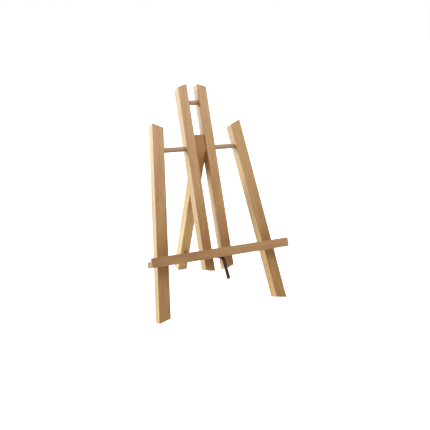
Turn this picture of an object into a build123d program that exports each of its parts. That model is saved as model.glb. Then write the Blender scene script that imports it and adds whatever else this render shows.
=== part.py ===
from build123d import *
import os
from math import cos, radians, sin, tan

# A small A-frame tabletop easel in beech, in millimetres, +Z up, +X to the right of someone facing it.
# Its feet stand on Z = 0 and the origin is at the middle of its footprint.
# The front frame is drawn flat first: X across, Y its depth from the front face, Z up the sticks.
# It is then leaned back by LEAN.

# Sticks
LEAN = 25.0  # how far the front frame leans back from upright, degrees
THICKNESS = 21.0  # every stick, front to back
LEG_WIDTH = 21.0  # outer legs
UPRIGHT_WIDTH = 18.0
REAR_LEG_WIDTH = 20.0
LEG_LENGTH = 354.0  # long edge of an outer leg
UPRIGHT_LENGTH = 350.0  # long edge of an upright
END_CUT = 17.5  # mitre at both ends of those sticks, from square, degrees
EASED_EDGE = 0.6  # radius on every edge of the sticks and the ledge
FOOT_ROUNDING = 0.33  # what that radius takes off the lowest corner of each outer leg
BROKEN_EDGE = 0.5  # chamfer at the dowels' ends

# Places in the front frame
FOOT_SPREAD = 259.5  # between the outer corners of the outer legs, at the floor
SPLAY = 6.65  # how far each outer leg leans in, degrees
UPRIGHT_GAP = 21.0  # clear width between the uprights, which takes the rear leg
UPRIGHT_FOOT = 73.0  # inner bottom corner of the uprights, up the frame
DOWEL_DIAMETER = 9.0
CROSS_DOWEL_HEIGHT = 302.5
TOP_DOWEL_HEIGHT = 389.5
LEG_HOLE_DEPTH = 14.0  # blind holes in the outer legs
UPRIGHT_HOLE_DEPTH = 11.0  # blind holes in the uprights, for the top dowel
HOLE_SPARE = 0.5  # bottom of each blind hole past the dowel's end

# Ledge: a shelf with a lip along its front edge, made from one rebated strip
LEDGE_LENGTH = 272.0
LEDGE_BOTTOM = 96.5
LEDGE_DEPTH = 27.5
LIP_HEIGHT = 16.5
LIP_THICKNESS = 7.5
SHELF_THICKNESS = 11.0

# Rear leg
REAR_LEAN = 16.0  # from upright, the other way from LEAN, degrees
HEAD_CUT = 46.5  # mitre at its head, from square, degrees
HEAD_RECESS = 2.1  # middle of the mitred head behind the frame's front face when open
PIVOT_CLEARANCE = 0.08  # radial, between the cross dowel and the rear leg

# Ledge screws, countersunk in the backs of the sticks
LEDGE_SCREW_LENGTH = 35.0
LEDGE_SCREW_SHANK = 3.5
LEDGE_SCREW_HEAD = 7.0
POINT_LENGTH = 4.0
HEAD_RIM = 0.4  # straight edge of every screw head

# Cross slot in every screw head
RECESS_DEPTH = 1.2
RECESS_SHARE = 0.58  # its width, as a share of the head's
RECESS_ARM = 0.2  # width of each arm, as a share of its length

# Brads that pin the dowels, driven in from the back
BRAD_LENGTH = 17.0
BRAD_SHANK = 1.2
BRAD_HEAD = 2.2
BRAD_HEAD_THICKNESS = 0.7

# Stay strap and its two round-headed screws
STRAP_WIDTH = 6.0
STRAP_THICKNESS = 1.6
STRAP_TAB = 14.0  # flat on the rear leg, below the bend
STRAP_BEND_DROP = 240.0  # bend at the rear leg, below the pivot along the leg
STRAP_SCREW_DROP = 7.5  # screw below the bend
STRAP_SCREW_DEPTH = 8.0  # ledge screw in front of the frame's front face
STRAP_CONTACT_DEPTH = 14.5  # last touch under the ledge, in front of the same face
STRAP_AT_BACK_EDGE = (0, 0.417, -0.525)  # clear of the ledge's eased back edge
STRAP_TAIL = [(0.5, -7.0, -2.0), (2.5, -10.0, -14.0), (8.5, -14.0, -38.0)]  # from that last touch
STRAP_SCREW_LENGTH = 10.0
STRAP_SCREW_SHANK = 2.8
STRAP_SCREW_HEAD = 5.6
STRAP_SCREW_DOME = 1.7

HALF = THICKNESS / 2  # also the depth of the sticks' middle, where the dowels are
OPEN_ANGLE = LEAN + REAR_LEAN
LEDGE_SCREW_HEIGHT = LEDGE_BOTTOM + SHELF_THICKNESS / 2


def reach(depth, height):
    """How far back a point of the leaning frame is from the front corners of the front feet."""
    return height * sin(radians(LEAN)) + depth * cos(radians(LEAN))


def rise(depth, height):
    """How high a point of the leaning frame is above the surface that the feet stand on."""
    return height * cos(radians(LEAN)) + (THICKNESS - depth) * sin(radians(LEAN)) - FOOT_ROUNDING


PIVOT_RISE = rise(HALF, CROSS_DOWEL_HEIGHT)
HEEL_REACH = PIVOT_RISE * tan(radians(REAR_LEAN)) + HALF / cos(radians(REAR_LEAN))
FOOTPRINT = reach(HALF, CROSS_DOWEL_HEIGHT) + HEEL_REACH  # front feet to the heel of the rear leg


def frame_point(across, depth, height):
    """A point of the flat front frame, where it is once the frame leans and stands on its feet."""
    return Vector(across, reach(depth, height) - FOOTPRINT / 2, rise(depth, height))


def lean_back(shape):
    return Pos(frame_point(0, 0, 0)) * Rot(-LEAN, 0, 0) * shape


def plank(outline):
    """A stick of the flat frame from its outline across and up, with eased edges."""
    blank = extrude(Plane.XZ * make_face(Polyline(*outline, close=True)), amount=-THICKNESS)
    return fillet(blank.edges(), EASED_EDGE)


def mirrored(outline, side):
    return [(side * across, up) for across, up in outline]


def leg_outline(side):
    """Outer leg: its outer edge is the long one, and it leans in towards the top."""
    along = Vector(sin(radians(SPLAY)), cos(radians(SPLAY)))
    inward = Vector(cos(radians(SPLAY)), -sin(radians(SPLAY)))
    across = inward * LEG_WIDTH
    mitre = along * LEG_WIDTH * tan(radians(END_CUT))
    foot = Vector(-FOOT_SPREAD / 2, 0)
    top = foot + along * LEG_LENGTH
    corners = [foot, foot + across + mitre, top + across - mitre, top]
    return mirrored([(c.X, c.Y) for c in corners], -side)


def upright_outline(side):
    """Centre upright: its inner edge is the long one."""
    inner = UPRIGHT_GAP / 2
    outer = inner + UPRIGHT_WIDTH
    mitre = UPRIGHT_WIDTH * tan(radians(END_CUT))
    foot = UPRIGHT_FOOT
    top = foot + UPRIGHT_LENGTH
    return mirrored([(inner, foot), (outer, foot + mitre), (outer, top - mitre), (inner, top)], side)


def leg_middle(height):
    """How far out the middle of an outer leg is, at a height up the frame."""
    outer = FOOT_SPREAD / 2 - height * tan(radians(SPLAY))
    return outer - LEG_WIDTH / 2 / cos(radians(SPLAY))


def leg_inner(height):
    return leg_middle(height) - LEG_WIDTH / 2 / cos(radians(SPLAY))


def rod(half_length, height, radius):
    """A round bar across the flat frame, in the middle of the sticks' thickness."""
    return Pos(0, HALF, height) * Rot(0, 90, 0) * Cylinder(radius, 2 * half_length)


def dowel(half_length, height):
    bar = rod(half_length, height, DOWEL_DIAMETER / 2)
    return chamfer(bar.edges(), BROKEN_EDGE)


CROSS_HALF = leg_inner(CROSS_DOWEL_HEIGHT) + LEG_HOLE_DEPTH
TOP_HALF = UPRIGHT_GAP / 2 + UPRIGHT_HOLE_DEPTH


def screw_recess(head_width):
    """A cross slot to cut in a screw head whose top is at Z = 0."""
    length = head_width * RECESS_SHARE
    arm = Box(length, length * RECESS_ARM, 2 * RECESS_DEPTH)
    return arm + Rot(0, 0, 90) * arm


def countersunk_screw():
    """Head up, its flat top at Z = 0 and its point down."""
    shank = LEDGE_SCREW_SHANK / 2
    head = LEDGE_SCREW_HEAD / 2
    profile = [
        (0, 0),
        (head, 0),
        (head, -HEAD_RIM),
        (shank, -HEAD_RIM - (head - shank)),
        (shank, POINT_LENGTH - LEDGE_SCREW_LENGTH),
        (0, -LEDGE_SCREW_LENGTH),
    ]
    return revolve(Plane.XZ * make_face(Polyline(*profile, close=True)), Axis.Z)


def round_head_screw():
    """Slotted dome above Z = 0, shank and point below."""
    shank = STRAP_SCREW_SHANK / 2
    head = STRAP_SCREW_HEAD / 2
    crown = STRAP_SCREW_DOME - HEAD_RIM
    dome_radius = (head**2 + crown**2) / (2 * crown)
    blank = Pos(0, 0, STRAP_SCREW_DOME / 2) * Cylinder(head, STRAP_SCREW_DOME)
    dome = blank & Pos(0, 0, STRAP_SCREW_DOME - dome_radius) * Sphere(dome_radius)
    profile = [
        (0, 0),
        (shank, 0),
        (shank, POINT_LENGTH - STRAP_SCREW_LENGTH),
        (0, -STRAP_SCREW_LENGTH),
    ]
    pin = revolve(Plane.XZ * make_face(Polyline(*profile, close=True)), Axis.Z)
    return dome + pin - Pos(0, 0, STRAP_SCREW_DOME) * screw_recess(STRAP_SCREW_HEAD)


def brad():
    """Head up, flush at Z = 0."""
    head = Pos(0, 0, -BRAD_HEAD_THICKNESS / 2) * Cylinder(BRAD_HEAD / 2, BRAD_HEAD_THICKNESS)
    shank = Pos(0, 0, -BRAD_LENGTH / 2) * Cylinder(BRAD_SHANK / 2, BRAD_LENGTH)
    return head + shank


def from_behind(fastener, across, height):
    """Turns a fastener to run forward from the back of the flat frame."""
    return Pos(across, THICKNESS, height) * Rot(-90, 0, 0) * fastener


def ledge_section():
    """Rebated strip seen from its left end: depth forward of the sticks, and height."""
    lip_back = LIP_THICKNESS - LEDGE_DEPTH
    base = LEDGE_BOTTOM
    return [
        (-LEDGE_DEPTH, base),
        (0, base),
        (0, base + SHELF_THICKNESS),
        (lip_back, base + SHELF_THICKNESS),
        (lip_back, base + LIP_HEIGHT),
        (-LEDGE_DEPTH, base + LIP_HEIGHT),
    ]


def ledge_blank():
    section = Plane.YZ * make_face(Polyline(*ledge_section(), close=True))
    blank = extrude(Pos(-LEDGE_LENGTH / 2, 0, 0) * section, amount=LEDGE_LENGTH)
    return fillet(blank.edges(), EASED_EDGE)


def rear_point(forward, drop):
    """A point beside the rear leg's middle line: forward of it, and down it from the pivot."""
    across = Vector(0, -cos(radians(REAR_LEAN)), -sin(radians(REAR_LEAN)))
    down = Vector(0, sin(radians(REAR_LEAN)), -cos(radians(REAR_LEAN)))
    return frame_point(0, HALF, CROSS_DOWEL_HEIGHT) + across * forward + down * drop


def rear_leg_blank():
    """Bar on the pivot: mitred head, heel cut flat on the floor, hole for the cross dowel."""
    front_heel = -(PIVOT_RISE - HALF * sin(radians(REAR_LEAN))) / cos(radians(REAR_LEAN))
    back_heel = -(PIVOT_RISE + HALF * sin(radians(REAR_LEAN))) / cos(radians(REAR_LEAN))
    head_middle = (HALF - HEAD_RECESS) / sin(radians(OPEN_ANGLE))
    head_rise = HALF * tan(radians(HEAD_CUT))
    side = [
        (-HALF, front_heel),
        (HALF, back_heel),
        (HALF, head_middle + head_rise),
        (-HALF, head_middle - head_rise),
    ]
    face = Plane.YZ * make_face(Polyline(*side, close=True))
    blank = extrude(Pos(-REAR_LEG_WIDTH / 2, 0, 0) * face, amount=REAR_LEG_WIDTH)
    blank = fillet(blank.edges(), EASED_EDGE)
    hole = Rot(0, 90, 0) * Cylinder(DOWEL_DIAMETER / 2 + PIVOT_CLEARANCE, 2 * REAR_LEG_WIDTH)
    return blank - hole


def stand_on_pivot(shape):
    return Pos(rear_point(0, 0)) * Rot(REAR_LEAN, 0, 0) * shape


def strap_route():
    """Middle line of the strap: tab on the rear leg, taut to the ledge, under the shelf, free tail."""
    off = STRAP_THICKNESS / 2
    under = LEDGE_BOTTOM - off
    back_edge = frame_point(0, 0, under) + STRAP_AT_BACK_EDGE
    last_contact = frame_point(0, -STRAP_CONTACT_DEPTH, under)
    return [
        rear_point(HALF + off, STRAP_BEND_DROP + STRAP_TAB),
        rear_point(HALF + off, STRAP_BEND_DROP),
        back_edge,
        last_contact,
        *[last_contact + step for step in STRAP_TAIL],
    ]


def stay_strap():
    route = strap_route()
    radii = []
    for before, corner, after in zip(route, route[1:], route[2:]):
        turn = (corner - before).get_angle(after - corner)
        shorter = min((corner - before).length, (after - corner).length)
        radii.append(0.45 * shorter / tan(radians(turn / 2)))
    print("strap radii", [round(r, 1) for r in radii])
    line = FilletPolyline(*route, radius=radii)
    start = Plane(origin=line @ 0, x_dir=(1, 0, 0), z_dir=line % 0)
    strap = sweep(start * Rectangle(STRAP_WIDTH, STRAP_THICKNESS), path=line)
    expected = STRAP_WIDTH * STRAP_THICKNESS * line.length
    print("strap length", round(line.length, 1), "volume", round(strap.volume), "of", round(expected))
    return strap


def rear_strap_screw():
    place = rear_point(HALF + STRAP_THICKNESS, STRAP_BEND_DROP + STRAP_SCREW_DROP)
    return Pos(place) * Rot(90 + REAR_LEAN, 0, 0) * round_head_screw()


def ledge_strap_screw():
    place = frame_point(0, -STRAP_SCREW_DEPTH, LEDGE_BOTTOM - STRAP_THICKNESS)
    return Pos(place) * Rot(180 - LEAN, 0, 0) * round_head_screw()


def build():
    sides = {"left": -1, "right": 1}
    nodes = {}

    screws = {}
    brads = {}
    for name, side in sides.items():
        screws[f"{name}_leg"] = (side * leg_middle(LEDGE_SCREW_HEIGHT), LEDGE_SCREW_HEIGHT)
        screws[f"{name}_upright"] = (side * (UPRIGHT_GAP + UPRIGHT_WIDTH) / 2, LEDGE_SCREW_HEIGHT)
        leg_pin = leg_inner(CROSS_DOWEL_HEIGHT) + LEG_HOLE_DEPTH / 2
        upright_pin = (UPRIGHT_GAP + UPRIGHT_WIDTH) / 2
        top_pin = (UPRIGHT_GAP + UPRIGHT_HOLE_DEPTH) / 2
        brads[f"{name}_leg_brad"] = (side * leg_pin, CROSS_DOWEL_HEIGHT)
        brads[f"{name}_upright_brad"] = (side * upright_pin, CROSS_DOWEL_HEIGHT)
        brads[f"{name}_top_brad"] = (side * top_pin, TOP_DOWEL_HEIGHT)

    screw_bodies = {n: from_behind(countersunk_screw(), *at) for n, at in screws.items()}
    brad_bodies = {n: from_behind(brad(), *at) for n, at in brads.items()}
    cross_hole = rod(CROSS_HALF + HOLE_SPARE, CROSS_DOWEL_HEIGHT, DOWEL_DIAMETER / 2)
    top_hole = rod(TOP_HALF + HOLE_SPARE, TOP_DOWEL_HEIGHT, DOWEL_DIAMETER / 2)

    for name, side in sides.items():
        leg = plank(leg_outline(side)) - cross_hole
        leg = leg - screw_bodies[f"{name}_leg"] - brad_bodies[f"{name}_leg_brad"]
        nodes[f"{name}_leg"] = lean_back(leg)
        upright = plank(upright_outline(side)) - cross_hole - top_hole
        upright = upright - screw_bodies[f"{name}_upright"]
        upright = upright - brad_bodies[f"{name}_upright_brad"] - brad_bodies[f"{name}_top_brad"]
        nodes[f"{name}_upright"] = lean_back(upright)

    cross = dowel(CROSS_HALF, CROSS_DOWEL_HEIGHT)
    top = dowel(TOP_HALF, TOP_DOWEL_HEIGHT)
    for name, body in brad_bodies.items():
        cross = cross - body
        top = top - body
    nodes["cross_dowel"] = lean_back(cross)
    nodes["top_dowel"] = lean_back(top)

    ledge = ledge_blank()
    for body in screw_bodies.values():
        ledge = ledge - body
    nodes["ledge"] = lean_back(ledge) - ledge_strap_screw()

    for name, body in screw_bodies.items():
        slot = from_behind(screw_recess(LEDGE_SCREW_HEAD), *screws[name])
        nodes[f"{name}_screw"] = lean_back(body - slot)
    for name, body in brad_bodies.items():
        nodes[name] = lean_back(body)

    rear_screw = rear_strap_screw()
    nodes["rear_leg"] = stand_on_pivot(rear_leg_blank()) - rear_screw
    strap = stay_strap()
    nodes["stay_strap"] = strap - rear_screw - ledge_strap_screw()
    nodes["rear_strap_screw"] = rear_screw
    nodes["ledge_strap_screw"] = ledge_strap_screw()
    return nodes


os.makedirs("parts", exist_ok=True)
for node, shape in build().items():
    shape.label = node
    export_step(shape, f"parts/{node}.step")
print("pivot", rear_point(0, 0), "footprint", round(FOOTPRINT, 2))
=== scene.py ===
from math import cos, pi, radians, sin, sqrt, tau

import bmesh
import bpy
from mathutils import Matrix, Vector


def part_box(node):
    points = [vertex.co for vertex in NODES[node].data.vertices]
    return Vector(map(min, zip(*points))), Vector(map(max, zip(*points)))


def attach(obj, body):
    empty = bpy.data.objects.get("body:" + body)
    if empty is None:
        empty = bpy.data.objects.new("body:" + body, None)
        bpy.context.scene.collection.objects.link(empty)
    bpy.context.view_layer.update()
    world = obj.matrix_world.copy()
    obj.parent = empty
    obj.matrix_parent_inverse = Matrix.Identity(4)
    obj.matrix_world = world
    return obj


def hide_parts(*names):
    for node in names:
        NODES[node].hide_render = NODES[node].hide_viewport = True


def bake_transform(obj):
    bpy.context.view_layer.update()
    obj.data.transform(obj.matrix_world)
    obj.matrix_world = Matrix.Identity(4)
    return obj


# A small A-frame tabletop easel in beech: its finishes, leather strap, screws and brads, in metres.

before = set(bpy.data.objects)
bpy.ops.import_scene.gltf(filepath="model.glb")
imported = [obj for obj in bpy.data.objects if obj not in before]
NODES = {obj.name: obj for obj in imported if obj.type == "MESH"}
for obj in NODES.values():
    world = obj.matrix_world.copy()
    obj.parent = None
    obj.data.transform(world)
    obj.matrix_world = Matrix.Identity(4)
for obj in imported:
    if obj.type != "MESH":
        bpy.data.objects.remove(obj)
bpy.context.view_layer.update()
MM = 0.001

# How the sticks stand
LEAN = radians(25)  # front frame, backwards from upright
SPLAY = radians(6.65)  # each outer leg, inwards
REAR_LEAN = radians(16)  # rear leg, the other way from LEAN

UP_THE_FRAME = Vector((0, sin(LEAN), cos(LEAN)))
OUT_OF_THE_BACK = Vector((0, cos(LEAN), -sin(LEAN)))
OUT_OF_THE_REAR_LEG = Vector((0, -cos(REAR_LEAN), -sin(REAR_LEAN)))

# Camera
LENS = 45.54
SENSOR = 36.0
CAMERA_PLACE = (-0.4216, -0.8858, 0.4943)
CAMERA_HEADING = radians(-26.83)
CAMERA_TILT = radians(-19.11)
CAMERA_ROLL = radians(2.17)

# Stay strap: flat leather lace, its route from the tab on the rear leg to the cut end of the tail
STRAP_WIDTH = 6.0 * MM
STRAP_THICKNESS = 1.6 * MM
STRAP_CORNER = 0.45 * MM
STRAP_CORNER_STEPS = 4
STRAP_TAB = (0, 0.08247, 0.03099)
STRAP_BEND = (0, 0.07861, 0.04445)
STRAP_AT_BACK_EDGE = (0, -0.07317, 0.09475)
STRAP_LAST_TOUCH = (0, -0.08673, 0.10141)
STRAP_TAIL = [
    (0.0005, -0.09373, 0.09941),
    (0.0025, -0.09673, 0.08741),
    (0.0085, -0.10073, 0.06341),
]
RUN_POINT_AT_BEND = 0.014  # extra point on the tight run, this far from the bend
RUN_POINT_AT_EDGE = 0.036  # and this far from the ledge's back edge
TAIL_TWIST = radians(20)
REAR_SCREW_DROP = 7.5 * MM  # strap screws, from the bend and from the last touch
LEDGE_SCREW_BACK = 6.5 * MM

# Stage; a broad light of 1 is as bright as white paper
FLOOR_SIZE = 60.0
FLOOR_PAPER = 0.74  # share of light the paper returns
FLOOR_GLOW = 0.85  # what the floor shows above what it reflects
FLOOR_BOUNCE = 0.26  # what it throws back above that
FLOOR_BOUNCE_TINT = (1.0, 0.86, 0.62)
ROOM_LIGHT = 0.32
ROOM_GLOSS = 0.45  # how bright the room is in reflections
LEFT_LIGHT = 2.5
LEFT_LIGHT_FROM = (-0.66, 0.68, 0.30)
LEFT_LIGHT_SOFTNESS = radians(35)
LEFT_LIGHT_TINT = (0.68, 0.87, 1.0)  # cool daylight
LAMP_POWER = 5.6  # soft box over the easel
LAMP_SIZE = 0.7
LAMP_PLACE = (0.16, -0.44, 0.98)
LAMP_TARGET = (0, 0, 0.2)


# ---------------------------------------------------------------- helpers

def link(thing):
    bpy.context.scene.collection.objects.link(thing)
    return thing


def mesh_object(name, mesh):
    return link(bpy.data.objects.new(name, mesh))


def plain_mesh(thing):
    """The evaluated object as a mesh of its own."""
    bpy.context.view_layer.update()
    graph = bpy.context.evaluated_depsgraph_get()
    return bpy.data.meshes.new_from_object(thing.evaluated_get(graph))


def finish_with(thing, material):
    """Puts one material on every face, through the object's own slots."""
    if not thing.material_slots:
        thing.data.materials.append(material)
    for each in thing.material_slots:
        each.material = material


def smooth(mesh):
    mesh.polygons.foreach_set("use_smooth", [True] * len(mesh.polygons))


class Wiring:
    """Adds nodes to one tree. An input is a value, or another node's output."""

    def __init__(self, tree):
        self.tree = tree

    def node(self, kind, inputs=None, **settings):
        made = self.tree.nodes.new(kind)
        for name, value in settings.items():
            setattr(made, name, value)
        for key, value in (inputs or {}).items():
            if isinstance(value, bpy.types.NodeSocket):
                self.tree.links.new(value, made.inputs[key])
            else:
                made.inputs[key].default_value = value
        return made

    def math(self, operation, a, b=0.0):
        return self.node("ShaderNodeMath", {0: a, 1: b}, operation=operation).outputs[0]

    def vector(self, operation, a, b=(0, 0, 0)):
        return self.node("ShaderNodeVectorMath", {0: a, 1: b}, operation=operation).outputs[0]

    def step(self, value, low, high, start=0.0, end=1.0):
        """Smoothly from start to end as value goes from low to high."""
        inputs = {"Value": value, "From Min": low, "From Max": high, "To Min": start, "To Max": end}
        return self.node("ShaderNodeMapRange", inputs, interpolation_type="SMOOTHSTEP").outputs[0]

    def mix(self, share, a, b, blend="MIX"):
        made = self.node("ShaderNodeMix", data_type="RGBA", blend_type=blend)
        for socket, value in zip((made.inputs[0], made.inputs[6], made.inputs[7]), (share, a, b)):
            if isinstance(value, bpy.types.NodeSocket):
                self.tree.links.new(value, socket)
            else:
                socket.default_value = value
        return made.outputs[2]

    def noise(self, place, scale, detail=2.0, roughness=0.5):
        inputs = {"Vector": place, "Scale": scale, "Detail": detail, "Roughness": roughness}
        return self.node("ShaderNodeTexNoise", inputs).outputs["Fac"]


def add_sockets(tree, direction, sockets):
    for name, kind in sockets:
        tree.interface.new_socket(name, in_out=direction, socket_type="NodeSocket" + kind)


def colour(red, green, blue):
    return (red, green, blue, 1.0)


def new_material(name):
    material = bpy.data.materials.new(name)
    material.use_nodes = True
    wiring = Wiring(material.node_tree)
    shader = material.node_tree.nodes["Principled BSDF"]
    return material, wiring, shader


def wire_surface(wiring, shader, tint, roughness, height, depth, strength):
    """Colour, roughness and bump into the shader. depth is the bump's height in metres."""
    inputs = {"Height": height, "Distance": depth, "Strength": strength}
    bump = wiring.node("ShaderNodeBump", inputs)
    wiring.tree.links.new(tint, shader.inputs["Base Color"])
    wiring.tree.links.new(roughness, shader.inputs["Roughness"])
    wiring.tree.links.new(bump.outputs[0], shader.inputs["Normal"])


# ---------------------------------------------------------------- camera

def set_camera():
    data = bpy.data.cameras.new("studio_camera")
    data.lens = LENS
    data.sensor_width = SENSOR
    camera = link(bpy.data.objects.new("studio_camera", data))
    heading = Matrix.Rotation(CAMERA_HEADING, 4, "Z")
    tilt = Matrix.Rotation(pi / 2 + CAMERA_TILT, 4, "X")
    roll = Matrix.Rotation(CAMERA_ROLL, 4, "Z")
    camera.matrix_world = Matrix.Translation(CAMERA_PLACE) @ heading @ tilt @ roll
    bpy.context.scene.camera = camera


# ---------------------------------------------------------------- leather strap

def along(start, end, distance):
    start, end = Vector(start), Vector(end)
    return start + (end - start).normalized() * distance


def strap_centreline():
    """Points along the strap's smooth middle line, read from a spline on its route."""
    route = [
        STRAP_TAB,
        STRAP_BEND,
        along(STRAP_BEND, STRAP_AT_BACK_EDGE, RUN_POINT_AT_BEND),
        along(STRAP_AT_BACK_EDGE, STRAP_BEND, RUN_POINT_AT_EDGE),
        STRAP_AT_BACK_EDGE,
        STRAP_LAST_TOUCH,
        *STRAP_TAIL,
    ]
    curve = bpy.data.curves.new("strap_line", "CURVE")
    curve.dimensions = "3D"
    curve.resolution_u = 24
    spline = curve.splines.new("NURBS")
    spline.points.add(len(route) - 1)
    for point, place in zip(spline.points, route):
        point.co = (*place, 1)
    spline.order_u = 3
    spline.use_endpoint_u = True
    line = link(bpy.data.objects.new("strap_line", curve))
    mesh = plain_mesh(line)
    points = [v.co.copy() for v in mesh.vertices]
    bpy.data.objects.remove(line)
    return points


def strap_section():
    """Rounded rectangle, as (across, through) pairs in order round it."""
    corners = [(1, 1, 0), (-1, 1, 1), (-1, -1, 2), (1, -1, 3)]
    section = []
    for x_sign, y_sign, quarter in corners:
        middle_x = x_sign * (STRAP_WIDTH / 2 - STRAP_CORNER)
        middle_y = y_sign * (STRAP_THICKNESS / 2 - STRAP_CORNER)
        for step in range(STRAP_CORNER_STEPS + 1):
            angle = (quarter + step / STRAP_CORNER_STEPS) * pi / 2
            across = middle_x + STRAP_CORNER * cos(angle)
            through = middle_y + STRAP_CORNER * sin(angle)
            section.append((across, through))
    return section


def make_strap():
    points = strap_centreline()
    section = strap_section()
    mesh = bpy.data.meshes.new("leather_strap")
    form = bmesh.new()
    mapped = form.loops.layers.uv.new("UVMap")
    reach = [0.0]
    for before, after in zip(points, points[1:]):
        reach.append(reach[-1] + (after - before).length)
    tail_start = reach[-1] - (Vector(STRAP_TAIL[-1]) - Vector(STRAP_LAST_TOUCH)).length
    rings = []
    for i, point in enumerate(points):
        tangent = (points[min(i + 1, len(points) - 1)] - points[max(i - 1, 0)]).normalized()
        down_the_tail = max(0.0, reach[i] - tail_start) / (reach[-1] - tail_start)
        across = (Vector((1, 0, 0)) - tangent * tangent.x).normalized()
        across = Matrix.Rotation(TAIL_TWIST * down_the_tail ** 2, 3, tangent) @ across
        through = tangent.cross(across)
        rings.append([form.verts.new(point + across * x + through * y) for x, y in section])
    around = len(section)
    round_reach = [0.0]
    for a, b in zip(section, section[1:] + section[:1]):
        round_reach.append(round_reach[-1] + sqrt((b[0] - a[0]) ** 2 + (b[1] - a[1]) ** 2))
    for i in range(len(rings) - 1):
        for k in range(around):
            ring, after = rings[i], rings[i + 1]
            beside = (k + 1) % around
            face = form.faces.new([ring[k], ring[beside], after[beside], after[k]])
            places = [(round_reach[k], reach[i]), (round_reach[k + 1], reach[i])]
            places += [(round_reach[k + 1], reach[i + 1]), (round_reach[k], reach[i + 1])]
            for loop, place in zip(face.loops, places):
                loop[mapped].uv = place
    for ring, length in ((list(reversed(rings[0])), 0.0), (rings[-1], reach[-1])):
        face = form.faces.new(ring)
        for loop, (x, y) in zip(face.loops, section):
            loop[mapped].uv = (x, length + y)
    bmesh.ops.recalc_face_normals(form, faces=form.faces)
    form.to_mesh(mesh)
    form.free()
    smooth(mesh)
    strap = mesh_object("leather_strap", mesh)
    finish_with(strap, waxed_leather())
    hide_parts("stay_strap")
    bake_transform(strap)
    return strap, points


def waxed_leather():
    """Dark brown leather: fine pebbled grain, creases across it, and a little wax."""
    material, wiring, shader = new_material("waxed_leather")
    place = wiring.node("ShaderNodeTexCoord").outputs["UV"]
    pebbles = wiring.node("ShaderNodeTexVoronoi", {"Vector": place, "Scale": 2400.0}, feature="F1")
    creases = wiring.noise(wiring.vector("MULTIPLY", place, (120, 900, 1)), 1.0, 3.0, 0.6)
    blotches = wiring.noise(place, 260.0, 3.0)
    dark, rubbed = colour(0.040, 0.0125, 0.0040), colour(0.092, 0.029, 0.0085)
    between_pebbles = colour(0.018, 0.008, 0.005)
    tint = wiring.mix(wiring.step(blotches, 0.3, 0.7), dark, rubbed)
    gap = wiring.step(pebbles.outputs["Distance"], 0.25, 0.75, 0.0, 0.35)
    tint = wiring.mix(gap, tint, between_pebbles)
    roughness = wiring.step(creases, 0.3, 0.7, 0.50, 0.68)
    height = wiring.math("ADD", wiring.math("MULTIPLY", pebbles.outputs["Distance"], -0.6), creases)
    wire_surface(wiring, shader, tint, roughness, height, 0.12 * MM, 0.6)
    shader.inputs["Specular IOR Level"].default_value = 0.3
    shader.inputs["Coat Weight"].default_value = 0.06
    shader.inputs["Coat Roughness"].default_value = 0.4
    return material


# ---------------------------------------------------------------- beech

RING_WIDTH = 2.1  # millimetres, like every size in the grain
RING_WANDER = 9.0
MM_PER_RADIAN = 60.0  # round the pith, at a middling distance from it
RAY_SPACING = (0.48, 6.0, 2.9)  # round the pith, outwards from it and along it


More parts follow.
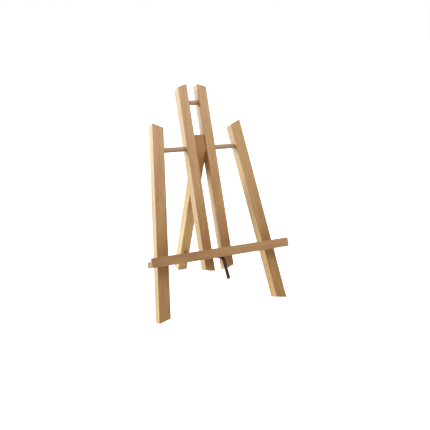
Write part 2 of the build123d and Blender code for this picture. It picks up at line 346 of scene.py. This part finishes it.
def beech_grain():
    """Solid beech in millimetres: X across the stick, Y through it and Z along it."""
    group = bpy.data.node_groups.new("beech_grain", "ShaderNodeTree")
    add_sockets(group, "INPUT", [
        ("Place", "Vector"),
        ("Facing", "Vector"),
        ("Pith", "Vector"),
        ("Half Section", "Vector"),
        ("Seed", "Float"),
        # painted shade: ruddier and darker towards one end of the stick, per millimetre along it
        ("Painted Shade Along", "Float"),
        ("Pale Wood", "Color"),
        ("Ruddy Wood", "Color"),
    ])
    add_sockets(group, "OUTPUT", [("Color", "Color"), ("Roughness", "Float"), ("Height", "Float")])
    w = Wiring(group)
    given = w.node("NodeGroupInput").outputs
    offset = w.node("ShaderNodeCombineXYZ", {axis: given["Seed"] for axis in range(3)})
    seeded = w.vector("ADD", given["Place"], offset.outputs[0])
    facing = w.node("ShaderNodeSeparateXYZ", {0: given["Facing"]}).outputs

    # Growth rings round a pith outside the stick, wandering slowly along its length
    wander = w.noise(w.vector("MULTIPLY", seeded, (0.06, 0.06, 0.006)), 1.0, 2.0)
    wander = w.math("MULTIPLY", w.math("SUBTRACT", wander, 0.5), RING_WANDER)
    from_pith = w.vector("SUBTRACT", given["Place"], given["Pith"])
    from_pith = w.node("ShaderNodeSeparateXYZ", {0: from_pith}).outputs
    squares = w.math("ADD", w.math("MULTIPLY", from_pith[0], from_pith[0]),
                     w.math("MULTIPLY", from_pith[1], from_pith[1]))
    radius = w.math("ADD", w.math("SQRT", squares), wander)
    ring = w.math("FRACT", w.math("DIVIDE", radius, RING_WIDTH))
    late = w.math("MULTIPLY", w.step(ring, 0.35, 0.9), w.step(ring, 0.93, 1.0, 1.0, 0.0))

    # Fibres, and darker streaks and mottling along them
    fibres = w.noise(w.vector("MULTIPLY", seeded, (2.6, 2.6, 0.055)), 1.0, 4.0, 0.6)
    streaks = w.noise(w.vector("MULTIPLY", seeded, (0.42, 0.42, 0.012)), 1.0, 3.0, 0.55)
    mottle = w.noise(w.vector("MULTIPLY", seeded, (0.55, 0.55, 0.11)), 1.0, 3.0, 0.6)

    # The short brown rays that mark beech, strongest on faces that follow the rings
    turn = w.math("MULTIPLY", w.math("ARCTAN2", from_pith[1], from_pith[0]), MM_PER_RADIAN)
    ray_place = w.node("ShaderNodeCombineXYZ", {
        axis: w.math("DIVIDE", value, spacing)
        for axis, (value, spacing) in enumerate(zip((turn, radius, from_pith[2]), RAY_SPACING))
    }).outputs[0]
    ray = w.node("ShaderNodeTexVoronoi", {"Vector": ray_place, "Scale": 1.0}, feature="F1")
    present = w.node("ShaderNodeSeparateXYZ", {0: ray.outputs["Color"]}).outputs[0]
    rays = w.math("MULTIPLY", w.step(ray.outputs["Distance"], 0.10, 0.38, 1.0, 0.0),
                  w.step(present, 0.3, 0.8))
    outward = w.math("ADD", w.math("MULTIPLY", facing[0], from_pith[0]),
                     w.math("MULTIPLY", facing[1], from_pith[1]))
    tangential = w.math("ABSOLUTE", w.math("DIVIDE", outward, w.math("SQRT", squares)))
    rays = w.math("MULTIPLY", rays, w.step(tangential, 0.35, 0.85, 0.3, 1.0))

    # End grain, and the arrises softened by sanding and handling
    end = w.step(w.math("ABSOLUTE", facing[2]), 0.35, 0.6)
    inward = w.node("ShaderNodeSeparateXYZ", {
        0: w.vector("SUBTRACT", given["Half Section"], w.vector("ABSOLUTE", given["Place"]))
    }).outputs
    worn = w.noise(seeded, 0.16, 3.0)
    worn_width = w.step(worn, 0.3, 0.7, 0.7, 2.4)
    arris = w.step(w.math("MAXIMUM", inward[0], inward[1]), 0.2, worn_width, 1.0, 0.0)

    # Colour drifts across a stick at random, and from one end of it to the other as painted shade:
    # ruddier and darker towards the end that lies in shade
    broad = w.noise(w.vector("MULTIPLY", seeded, (0.05, 0.05, 0.011)), 1.0, 2.0)
    length = w.node("ShaderNodeSeparateXYZ", {0: given["Place"]}).outputs[2]
    # Painted shade: the slope along the stick makes its shaded end ruddier and darker
    broad = w.math("ADD", broad, w.math("MULTIPLY", length, given["Painted Shade Along"]))
    wood = w.mix(w.step(broad, 0.3, 0.7), given["Pale Wood"], given["Ruddy Wood"])
    for share, stain in (
        (w.step(streaks, 0.25, 0.75, 0.0, 0.9), (0.86, 0.79, 0.70)),
        (w.step(mottle, 0.35, 0.65, 0.0, 0.8), (0.88, 0.82, 0.74)),
        (w.math("MULTIPLY", late, 0.5), (0.78, 0.70, 0.60)),
        (w.step(fibres, 0.35, 0.75, 0.0, 0.6), (0.84, 0.79, 0.72)),
        (w.math("MULTIPLY", rays, 0.5), (0.66, 0.54, 0.43)),
        (w.math("MULTIPLY", end, 0.8), (0.70, 0.63, 0.55)),
        (w.math("MULTIPLY", arris, 0.35), (0.86, 0.82, 0.78)),
    ):
        wood = w.mix(share, wood, colour(*stain), "MULTIPLY")

    roughness = w.math("ADD", w.step(fibres, 0.2, 0.8, 0.44, 0.58), w.math("MULTIPLY", end, 0.18))
    roughness = w.math("SUBTRACT", roughness, w.math("MULTIPLY", arris, 0.07))
    height = w.math("ADD", w.math("MULTIPLY", fibres, 0.8), w.math("MULTIPLY", late, 0.3))
    height = w.math("SUBTRACT", height, w.math("MULTIPLY", rays, 0.35))
    saw = w.noise(w.vector("MULTIPLY", seeded, (0.4, 6.0, 6.0)), 1.0, 3.0)
    height = w.math("ADD", height, w.math("MULTIPLY", w.math("MULTIPLY", saw, end), 1.5))
    w.node("NodeGroupOutput", {"Color": wood, "Roughness": roughness, "Height": height})
    return group


def beech_stick(grain, node, turn, seed, pith, pale, ruddy, painted_shade_slope, half_section):
    """Beech cut along one piece: turn takes Z to the piece's own length.

    The slope argument is painted shade: how much of the ruddy wood comes in with each millimetre
    along the piece, darkening the end that lies in shade.
    """
    material, wiring, shader = new_material("beech_" + node)
    low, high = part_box(node)
    coordinates = wiring.node("ShaderNodeTexCoord").outputs
    angles = turn.to_euler("XYZ")
    middle = (low + high) / 2
    place = wiring.node("ShaderNodeMapping", {
        "Vector": coordinates["Object"],
        "Location": middle,
        "Rotation": angles,
        "Scale": (MM, MM, MM),
    }, vector_type="TEXTURE").outputs[0]
    facing = wiring.node("ShaderNodeMapping", {
        "Vector": coordinates["Normal"], "Rotation": angles,
    }, vector_type="TEXTURE").outputs[0]
    made = wiring.node("ShaderNodeGroup", node_tree=grain)
    values = {
        "Pith": pith,
        "Half Section": half_section,
        "Seed": seed,
        "Painted Shade Along": painted_shade_slope,
        "Pale Wood": colour(*pale),
        "Ruddy Wood": colour(*ruddy),
    }
    for name, value in values.items():
        made.inputs[name].default_value = value
    wiring.tree.links.new(place, made.inputs["Place"])
    wiring.tree.links.new(facing, made.inputs["Facing"])
    out = made.outputs
    wire_surface(wiring, shader, out["Color"], out["Roughness"], out["Height"], 0.10 * MM, 0.5)
    shader.inputs["IOR"].default_value = 1.5
    shader.inputs["Specular IOR Level"].default_value = 0.5
    shader.inputs["Coat Weight"].default_value = 0.2
    shader.inputs["Coat Roughness"].default_value = 0.35
    finish_with(NODES[node], material)


def finish_wood():
    grain = beech_grain()
    back = Matrix.Rotation(-LEAN, 3, "X")
    sideways = back @ Matrix.Rotation(pi / 2, 3, "Y")
    rear = Matrix.Rotation(REAR_LEAN, 3, "X")
    left_turn = back @ Matrix.Rotation(SPLAY, 3, "Y")
    right_turn = back @ Matrix.Rotation(-SPLAY, 3, "Y")
    leg = (10.5, 10.5, 0)
    upright = (9.0, 10.5, 0)
    rear_bar = (10.0, 10.5, 0)
    strip = (8.25, 13.75, 0)
    round_bar = (40.0, 40.0, 0)
    pale, ruddy = (0.535, 0.322, 0.138), (0.465, 0.247, 0.084)
    yellow, straw = (0.63, 0.400, 0.165), (0.49, 0.250, 0.068)
    brown, deep_brown = (0.51, 0.298, 0.130), (0.395, 0.208, 0.086)
    dowel_pale, dowel_ruddy = (0.45, 0.295, 0.175), (0.40, 0.25, 0.14)
    # Painted shade in the last but one column: ruddier and darker at the foot of the front frame's
    # sticks, the left end of the ledge and the top of the rear leg
    for node, turn, seed, pith, light, deep, painted_shade_slope, half in (
        ("left_leg", left_turn, 11.0, (34, 46, 0), pale, ruddy, -0.0010, leg),
        ("right_leg", right_turn, 37.0, (-52, 30, 0), pale, ruddy, -0.0010, leg),
        ("left_upright", back, 53.0, (18, 60, 0), pale, ruddy, -0.0014, upright),
        ("right_upright", back, 71.0, (-64, 22, 0), pale, ruddy, -0.0008, upright),
        ("rear_leg", rear, 97.0, (44, -40, 0), yellow, straw, 0.0020, rear_bar),
        ("ledge", sideways, 131.0, (48, 38, 0), brown, deep_brown, -0.0018, strip),
        ("cross_dowel", sideways, 151.0, (30, 26, 0), dowel_pale, dowel_ruddy, 0.0, round_bar),
        ("top_dowel", sideways, 173.0, (-28, 34, 0), dowel_pale, dowel_ruddy, 0.0, round_bar),
    ):
        beech_stick(grain, node, turn, seed, pith, light, deep, painted_shade_slope, half)


# ---------------------------------------------------------------- screws and brads

# Outlines and threads, in millimetres: (radius, height) pairs from the crown down, and
# (top, bottom, pitch, depth)
LEDGE_SCREW = [(3.45, 0.0), (3.5, -0.06), (3.5, -0.4), (1.75, -2.15), (1.3, -9.0), (0.12, -35.0)]
LEDGE_SCREW_THREAD = (-9.5, -31, 1.5, 0.4)
LEDGE_SCREW_HEAD = 7.0 * MM
LEDGE_SCREW_RECESS = (4.2 * MM, 0.0, 1.5 * MM)  # width, top, depth
BRAD = [(0.95, 0.0), (1.1, -0.12), (1.1, -0.6), (0.6, -0.75), (0.6, -15.6), (0.05, -17.0)]
BRAD_HEAD = 2.2 * MM
STRAP_SCREW_HEAD = (5.6 * MM, 1.7 * MM, 0.4 * MM)  # width, dome, rim
STRAP_SCREW_SHANK = [(1.05, -0.02), (0.08, -10)]
STRAP_SCREW_THREAD = (-2.2, -8.6, 1.2, 0.33)
STRAP_SCREW_RECESS = (3.2 * MM, 1.66 * MM, 1.0 * MM)
SCREW_SIDES = 32
BRAD_SIDES = 20
RINGS_PER_THREAD_TURN = 6
THREAD_STEEPNESS = 4  # a ridge falls to nothing a quarter of a turn to each side

# Cross recess, as shares of its width and depth
CROSS_ARM = 0.1  # half an arm's thickness
CROSS_REACH = 0.5
CROSS_LIP = 1.1  # how much wider the cutter is above the head
CROSS_FLOOR = 0.62
CROSS_ABOVE = 0.1


def in_metres(millimetres):
    return [tuple(value * MM for value in each) for each in millimetres]


def turned_pin(name, outline, sides, thread=None):
    """Closed round body from an outline, with a thread on its last length if one is given."""
    rings = list(outline)
    if thread:
        top, bottom, pitch, depth = [value * MM for value in thread]
        steps = round((top - bottom) / pitch * RINGS_PER_THREAD_TURN)
        core = outline[-2][0]
        fine = [(core, top + (bottom - top) * i / steps) for i in range(1, steps)]
        rings = outline[:-2] + [(core, top)] + fine + [(core, bottom), outline[-1]]
    form = bmesh.new()
    circles = []
    for radius, height in rings:
        circle = []
        for k in range(sides):
            angle = tau * k / sides
            grown = radius
            if thread and bottom < height < top:
                phase = (height / pitch + k / sides) % 1.0
                grown += depth * max(0.0, 1 - abs(phase - 0.5) * THREAD_STEEPNESS)
            circle.append(form.verts.new((grown * cos(angle), grown * sin(angle), height)))
        circles.append(circle)
    for upper, lower in zip(circles, circles[1:]):
        for k in range(sides):
            beside = (k + 1) % sides
            form.faces.new([upper[k], lower[k], lower[beside], upper[beside]])
    form.faces.new(circles[0])
    form.faces.new(list(reversed(circles[-1])))
    bmesh.ops.recalc_face_normals(form, faces=form.faces)
    mesh = bpy.data.meshes.new(name)
    form.to_mesh(mesh)
    form.free()
    return mesh_object(name, mesh)


def cut_cross(body, width, top, depth):
    """Tapered cross recess in a screw head."""
    form = bmesh.new()
    arm, wide = width * CROSS_ARM, width * CROSS_REACH
    outline = [(arm, wide), (arm, arm), (wide, arm)]
    corners = []
    for quarter in range(4):
        angle = quarter * pi / 2
        for x, y in reversed(outline):
            corners.append((x * cos(angle) - y * sin(angle), x * sin(angle) + y * cos(angle)))
    lip, floor = [
        [form.verts.new((x * share, y * share, height)) for x, y in corners]
        for share, height in ((CROSS_LIP, top + CROSS_ABOVE * depth), (CROSS_FLOOR, top - depth))
    ]
    for k in range(len(corners)):
        beside = (k + 1) % len(corners)
        form.faces.new([lip[k], floor[k], floor[beside], lip[beside]])
    form.faces.new(lip)
    form.faces.new(list(reversed(floor)))
    bmesh.ops.recalc_face_normals(form, faces=form.faces)
    mesh = bpy.data.meshes.new("cross_cutter")
    form.to_mesh(mesh)
    form.free()
    cutter = mesh_object("cross_cutter", mesh)
    cut = body.modifiers.new("cross", "BOOLEAN")
    cut.operation = "DIFFERENCE"
    cut.solver = "EXACT"
    cut.object = cutter
    body.data = plain_mesh(body)
    body.modifiers.clear()
    bpy.data.objects.remove(cutter)


def seating_tree():
    """Puts a copy of one fastener at every point, heads all one way, each turned at random."""
    tree = bpy.data.node_groups.new("seated_fasteners", "GeometryNodeTree")
    add_sockets(tree, "INPUT", [
        ("Points", "Geometry"),
        ("Fastener", "Object"),
        ("Out Direction", "Vector"),
        ("Most Turn", "Float"),
        ("Seed", "Int"),
        ("Metal", "Material"),
    ])
    add_sockets(tree, "OUTPUT", [("Fasteners", "Geometry")])
    w = Wiring(tree)
    given = w.node("NodeGroupInput").outputs
    fastener = w.node("GeometryNodeObjectInfo", {"Object": given["Fastener"]}).outputs["Geometry"]
    aimed = w.node("FunctionNodeAlignEulerToVector", {"Vector": given["Out Direction"]}, axis="Z")
    limits = {3: given["Most Turn"], "Seed": given["Seed"]}
    turn = w.node("FunctionNodeRandomValue", limits, data_type="FLOAT")
    spin = w.node("ShaderNodeCombineXYZ", {2: turn.outputs[1]})
    seated = w.node("GeometryNodeInstanceOnPoints", {
        "Points": given["Points"], "Instance": fastener, "Rotation": aimed.outputs[0],
    })
    turned = w.node("GeometryNodeRotateInstances", {
        "Instances": seated.outputs[0], "Rotation": spin.outputs[0],
    })
    real = w.node("GeometryNodeRealizeInstances", {"Geometry": turned.outputs[0]})
    metal = w.node("GeometryNodeSetMaterial", {
        "Geometry": real.outputs[0], "Material": given["Metal"],
    })
    w.node("NodeGroupOutput", {0: metal.outputs[0]})
    return tree


def seat(tree, name, fastener, places, direction, seed, metal, body, replaced):
    """Fasteners of one kind at their places, as one plain piece on one body."""
    points = bpy.data.meshes.new(name + "_places")
    points.from_pydata([tuple(p) for p in places], [], [])
    holder = mesh_object(name + "_places", points)
    modifier = holder.modifiers.new("seated", "NODES")
    modifier.node_group = tree
    values = {
        "Fastener": fastener,
        "Out Direction": direction,
        "Most Turn": pi,
        "Seed": seed,
        "Metal": metal,
    }
    for item in tree.interface.items_tree:
        if item.in_out == "INPUT" and item.name in values:
            modifier[item.identifier] = values[item.name]
    mesh = plain_mesh(holder)
    mesh.name = name
    bpy.data.objects.remove(holder)
    bpy.data.objects.remove(fastener)
    piece = mesh_object(name, mesh)
    finish_with(piece, metal)
    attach(piece, body)
    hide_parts(*replaced)


def back_head_place(node, head_width):
    """Middle of a fastener's flat head in the back of the front frame."""
    low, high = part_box(node)
    radius = head_width / 2
    across = (low.x + high.x) / 2
    return Vector((across, high.y - radius * sin(LEAN), low.z + radius * cos(LEAN)))


def round_head(width, dome, rim, steps=7):
    """Outline of a domed head, crown first, down to its flat underside."""
    half = width / 2
    rise = dome - rim
    ball = (half ** 2 + rise ** 2) / (2 * rise)
    outline = []
    for i in range(1, steps + 1):
        radius = half * i / steps
        outline.append((radius, dome - ball + sqrt(ball ** 2 - radius ** 2)))
    return outline + [(half, 0.0)]


def make_fasteners():
    tree = seating_tree()
    zinc = worked_metal("zinc_plate", (0.62, 0.61, 0.56), (0.44, 0.43, 0.38), 0.30, 0.46)
    bright = worked_metal("bright_brad", (0.52, 0.52, 0.52), (0.34, 0.33, 0.32), 0.34, 0.52)
    browned = worked_metal("browned_steel", (0.085, 0.050, 0.030), (0.040, 0.024, 0.016),
                           0.42, 0.62)

    nodes = [f"{side}_{stick}_screw" for side in ("left", "right") for stick in ("leg", "upright")]
    places = [back_head_place(n, LEDGE_SCREW_HEAD) for n in nodes]
    screw = turned_pin("ledge_screw", in_metres(LEDGE_SCREW), SCREW_SIDES, LEDGE_SCREW_THREAD)
    cut_cross(screw, *LEDGE_SCREW_RECESS)
    seat(tree, "ledge_screws", screw, places, OUT_OF_THE_BACK, 4, zinc,
         "front_frame", nodes)

    spots = ("leg", "upright", "top")
    nodes = [f"{side}_{spot}_brad" for side in ("left", "right") for spot in spots]
    places = [back_head_place(n, BRAD_HEAD) for n in nodes]
    pin = turned_pin("dowel_brad", in_metres(BRAD), BRAD_SIDES)
    seat(tree, "dowel_brads", pin, places, OUT_OF_THE_BACK, 9, bright,
         "front_frame", nodes)

    rear_place = along(STRAP_BEND, STRAP_TAB, REAR_SCREW_DROP)
    rear_place += OUT_OF_THE_REAR_LEG * (STRAP_THICKNESS / 2)
    under_ledge = Vector(STRAP_LAST_TOUCH) + OUT_OF_THE_BACK * LEDGE_SCREW_BACK
    under_ledge -= UP_THE_FRAME * (STRAP_THICKNESS / 2)
    outline = round_head(*STRAP_SCREW_HEAD) + in_metres(STRAP_SCREW_SHANK)
    for node, place, direction, seed, body in (
        ("rear_strap_screw", rear_place, OUT_OF_THE_REAR_LEG, 2, "rear_leg"),
        ("ledge_strap_screw", under_ledge, -UP_THE_FRAME, 6, "front_frame"),
    ):
        name = node + "_head"
        screw = turned_pin(name + "_blank", outline, SCREW_SIDES, STRAP_SCREW_THREAD)
        cut_cross(screw, *STRAP_SCREW_RECESS)
        seat(tree, name, screw, [place], direction, seed, browned, body, [node])


def worked_metal(name, light, dark, smoothest, roughest):
    """Metal with fine turning lines and dulled patches."""
    material, wiring, shader = new_material(name)
    place = wiring.node("ShaderNodeTexCoord").outputs["Object"]
    patches = wiring.noise(place, 900.0, 4.0, 0.6)
    scratches = wiring.noise(wiring.vector("MULTIPLY", place, (6000, 900, 900)), 1.0, 3.0)
    tint = wiring.mix(wiring.step(patches, 0.3, 0.7), colour(*light), colour(*dark))
    roughness = wiring.step(patches, 0.3, 0.7, smoothest, roughest)
    wire_surface(wiring, shader, tint, roughness, scratches, 0.02 * MM, 0.4)
    shader.inputs["Metallic"].default_value = 1.0
    return material


# ---------------------------------------------------------------- floor and light

def broad_light(name, comes_from, brightness, tint, softness):
    """Even light over the whole stage, from one direction."""
    data = bpy.data.lights.new(name, "SUN")
    data.energy = brightness * pi
    data.color = tint
    data.angle = softness
    lamp = link(bpy.data.objects.new(name, data))
    lamp.rotation_euler = (-Vector(comes_from)).to_track_quat("-Z", "Y").to_euler()


def soft_box(name, place, target, size, power):
    data = bpy.data.lights.new(name, "AREA")
    data.shape = "SQUARE"
    data.size = size
    data.energy = power
    lamp = link(bpy.data.objects.new(name, data))
    lamp.location = place
    lamp.rotation_euler = (Vector(target) - Vector(place)).to_track_quat("-Z", "Y").to_euler()


def set_floor():
    """Pale paper that looks whiter than the light it throws back, which is a little warm."""
    half = FLOOR_SIZE / 2
    mesh = bpy.data.meshes.new("pale_floor")
    corners = [(-half, -half, 0), (half, -half, 0), (half, half, 0), (-half, half, 0)]
    mesh.from_pydata(corners, [], [(0, 1, 2, 3)])
    floor = mesh_object("pale_floor", mesh)
    material, wiring, shader = new_material("pale_paper")
    shader.inputs["Base Color"].default_value = colour(FLOOR_PAPER, FLOOR_PAPER, FLOOR_PAPER)
    shader.inputs["Roughness"].default_value = 0.95
    shader.inputs["Specular IOR Level"].default_value = 0.1
    seen = wiring.node("ShaderNodeLightPath").outputs["Is Camera Ray"]
    glow = wiring.step(seen, 0.0, 1.0, FLOOR_BOUNCE, FLOOR_GLOW)
    tint = wiring.mix(seen, colour(*FLOOR_BOUNCE_TINT), colour(1, 1, 1))
    wiring.tree.links.new(glow, shader.inputs["Emission Strength"])
    wiring.tree.links.new(tint, shader.inputs["Emission Color"])
    finish_with(floor, material)


def set_room():
    """White to look at, and dimmer as a light and in reflections than it looks."""
    world = bpy.data.worlds.new("studio")
    world.use_nodes = True
    wiring = Wiring(world.node_tree)
    path = wiring.node("ShaderNodeLightPath").outputs
    background = world.node_tree.nodes["Background"]
    background.inputs["Color"].default_value = colour(1, 1, 1)
    light = wiring.step(path["Is Glossy Ray"], 0.0, 1.0, ROOM_LIGHT, ROOM_GLOSS)
    strength = wiring.math("MAXIMUM", light, path["Is Camera Ray"])
    wiring.tree.links.new(strength, background.inputs["Strength"])
    bpy.context.scene.world = world


def set_stage():
    set_floor()
    set_room()
    soft_box("top_light", LAMP_PLACE, LAMP_TARGET, LAMP_SIZE, LAMP_POWER)
    broad_light("left_light", LEFT_LIGHT_FROM, LEFT_LIGHT, LEFT_LIGHT_TINT, LEFT_LIGHT_SOFTNESS)
    bpy.context.scene.view_settings.view_transform = "Standard"


set_camera()
strap, strap_line = make_strap()
finish_wood()
make_fasteners()
set_stage()
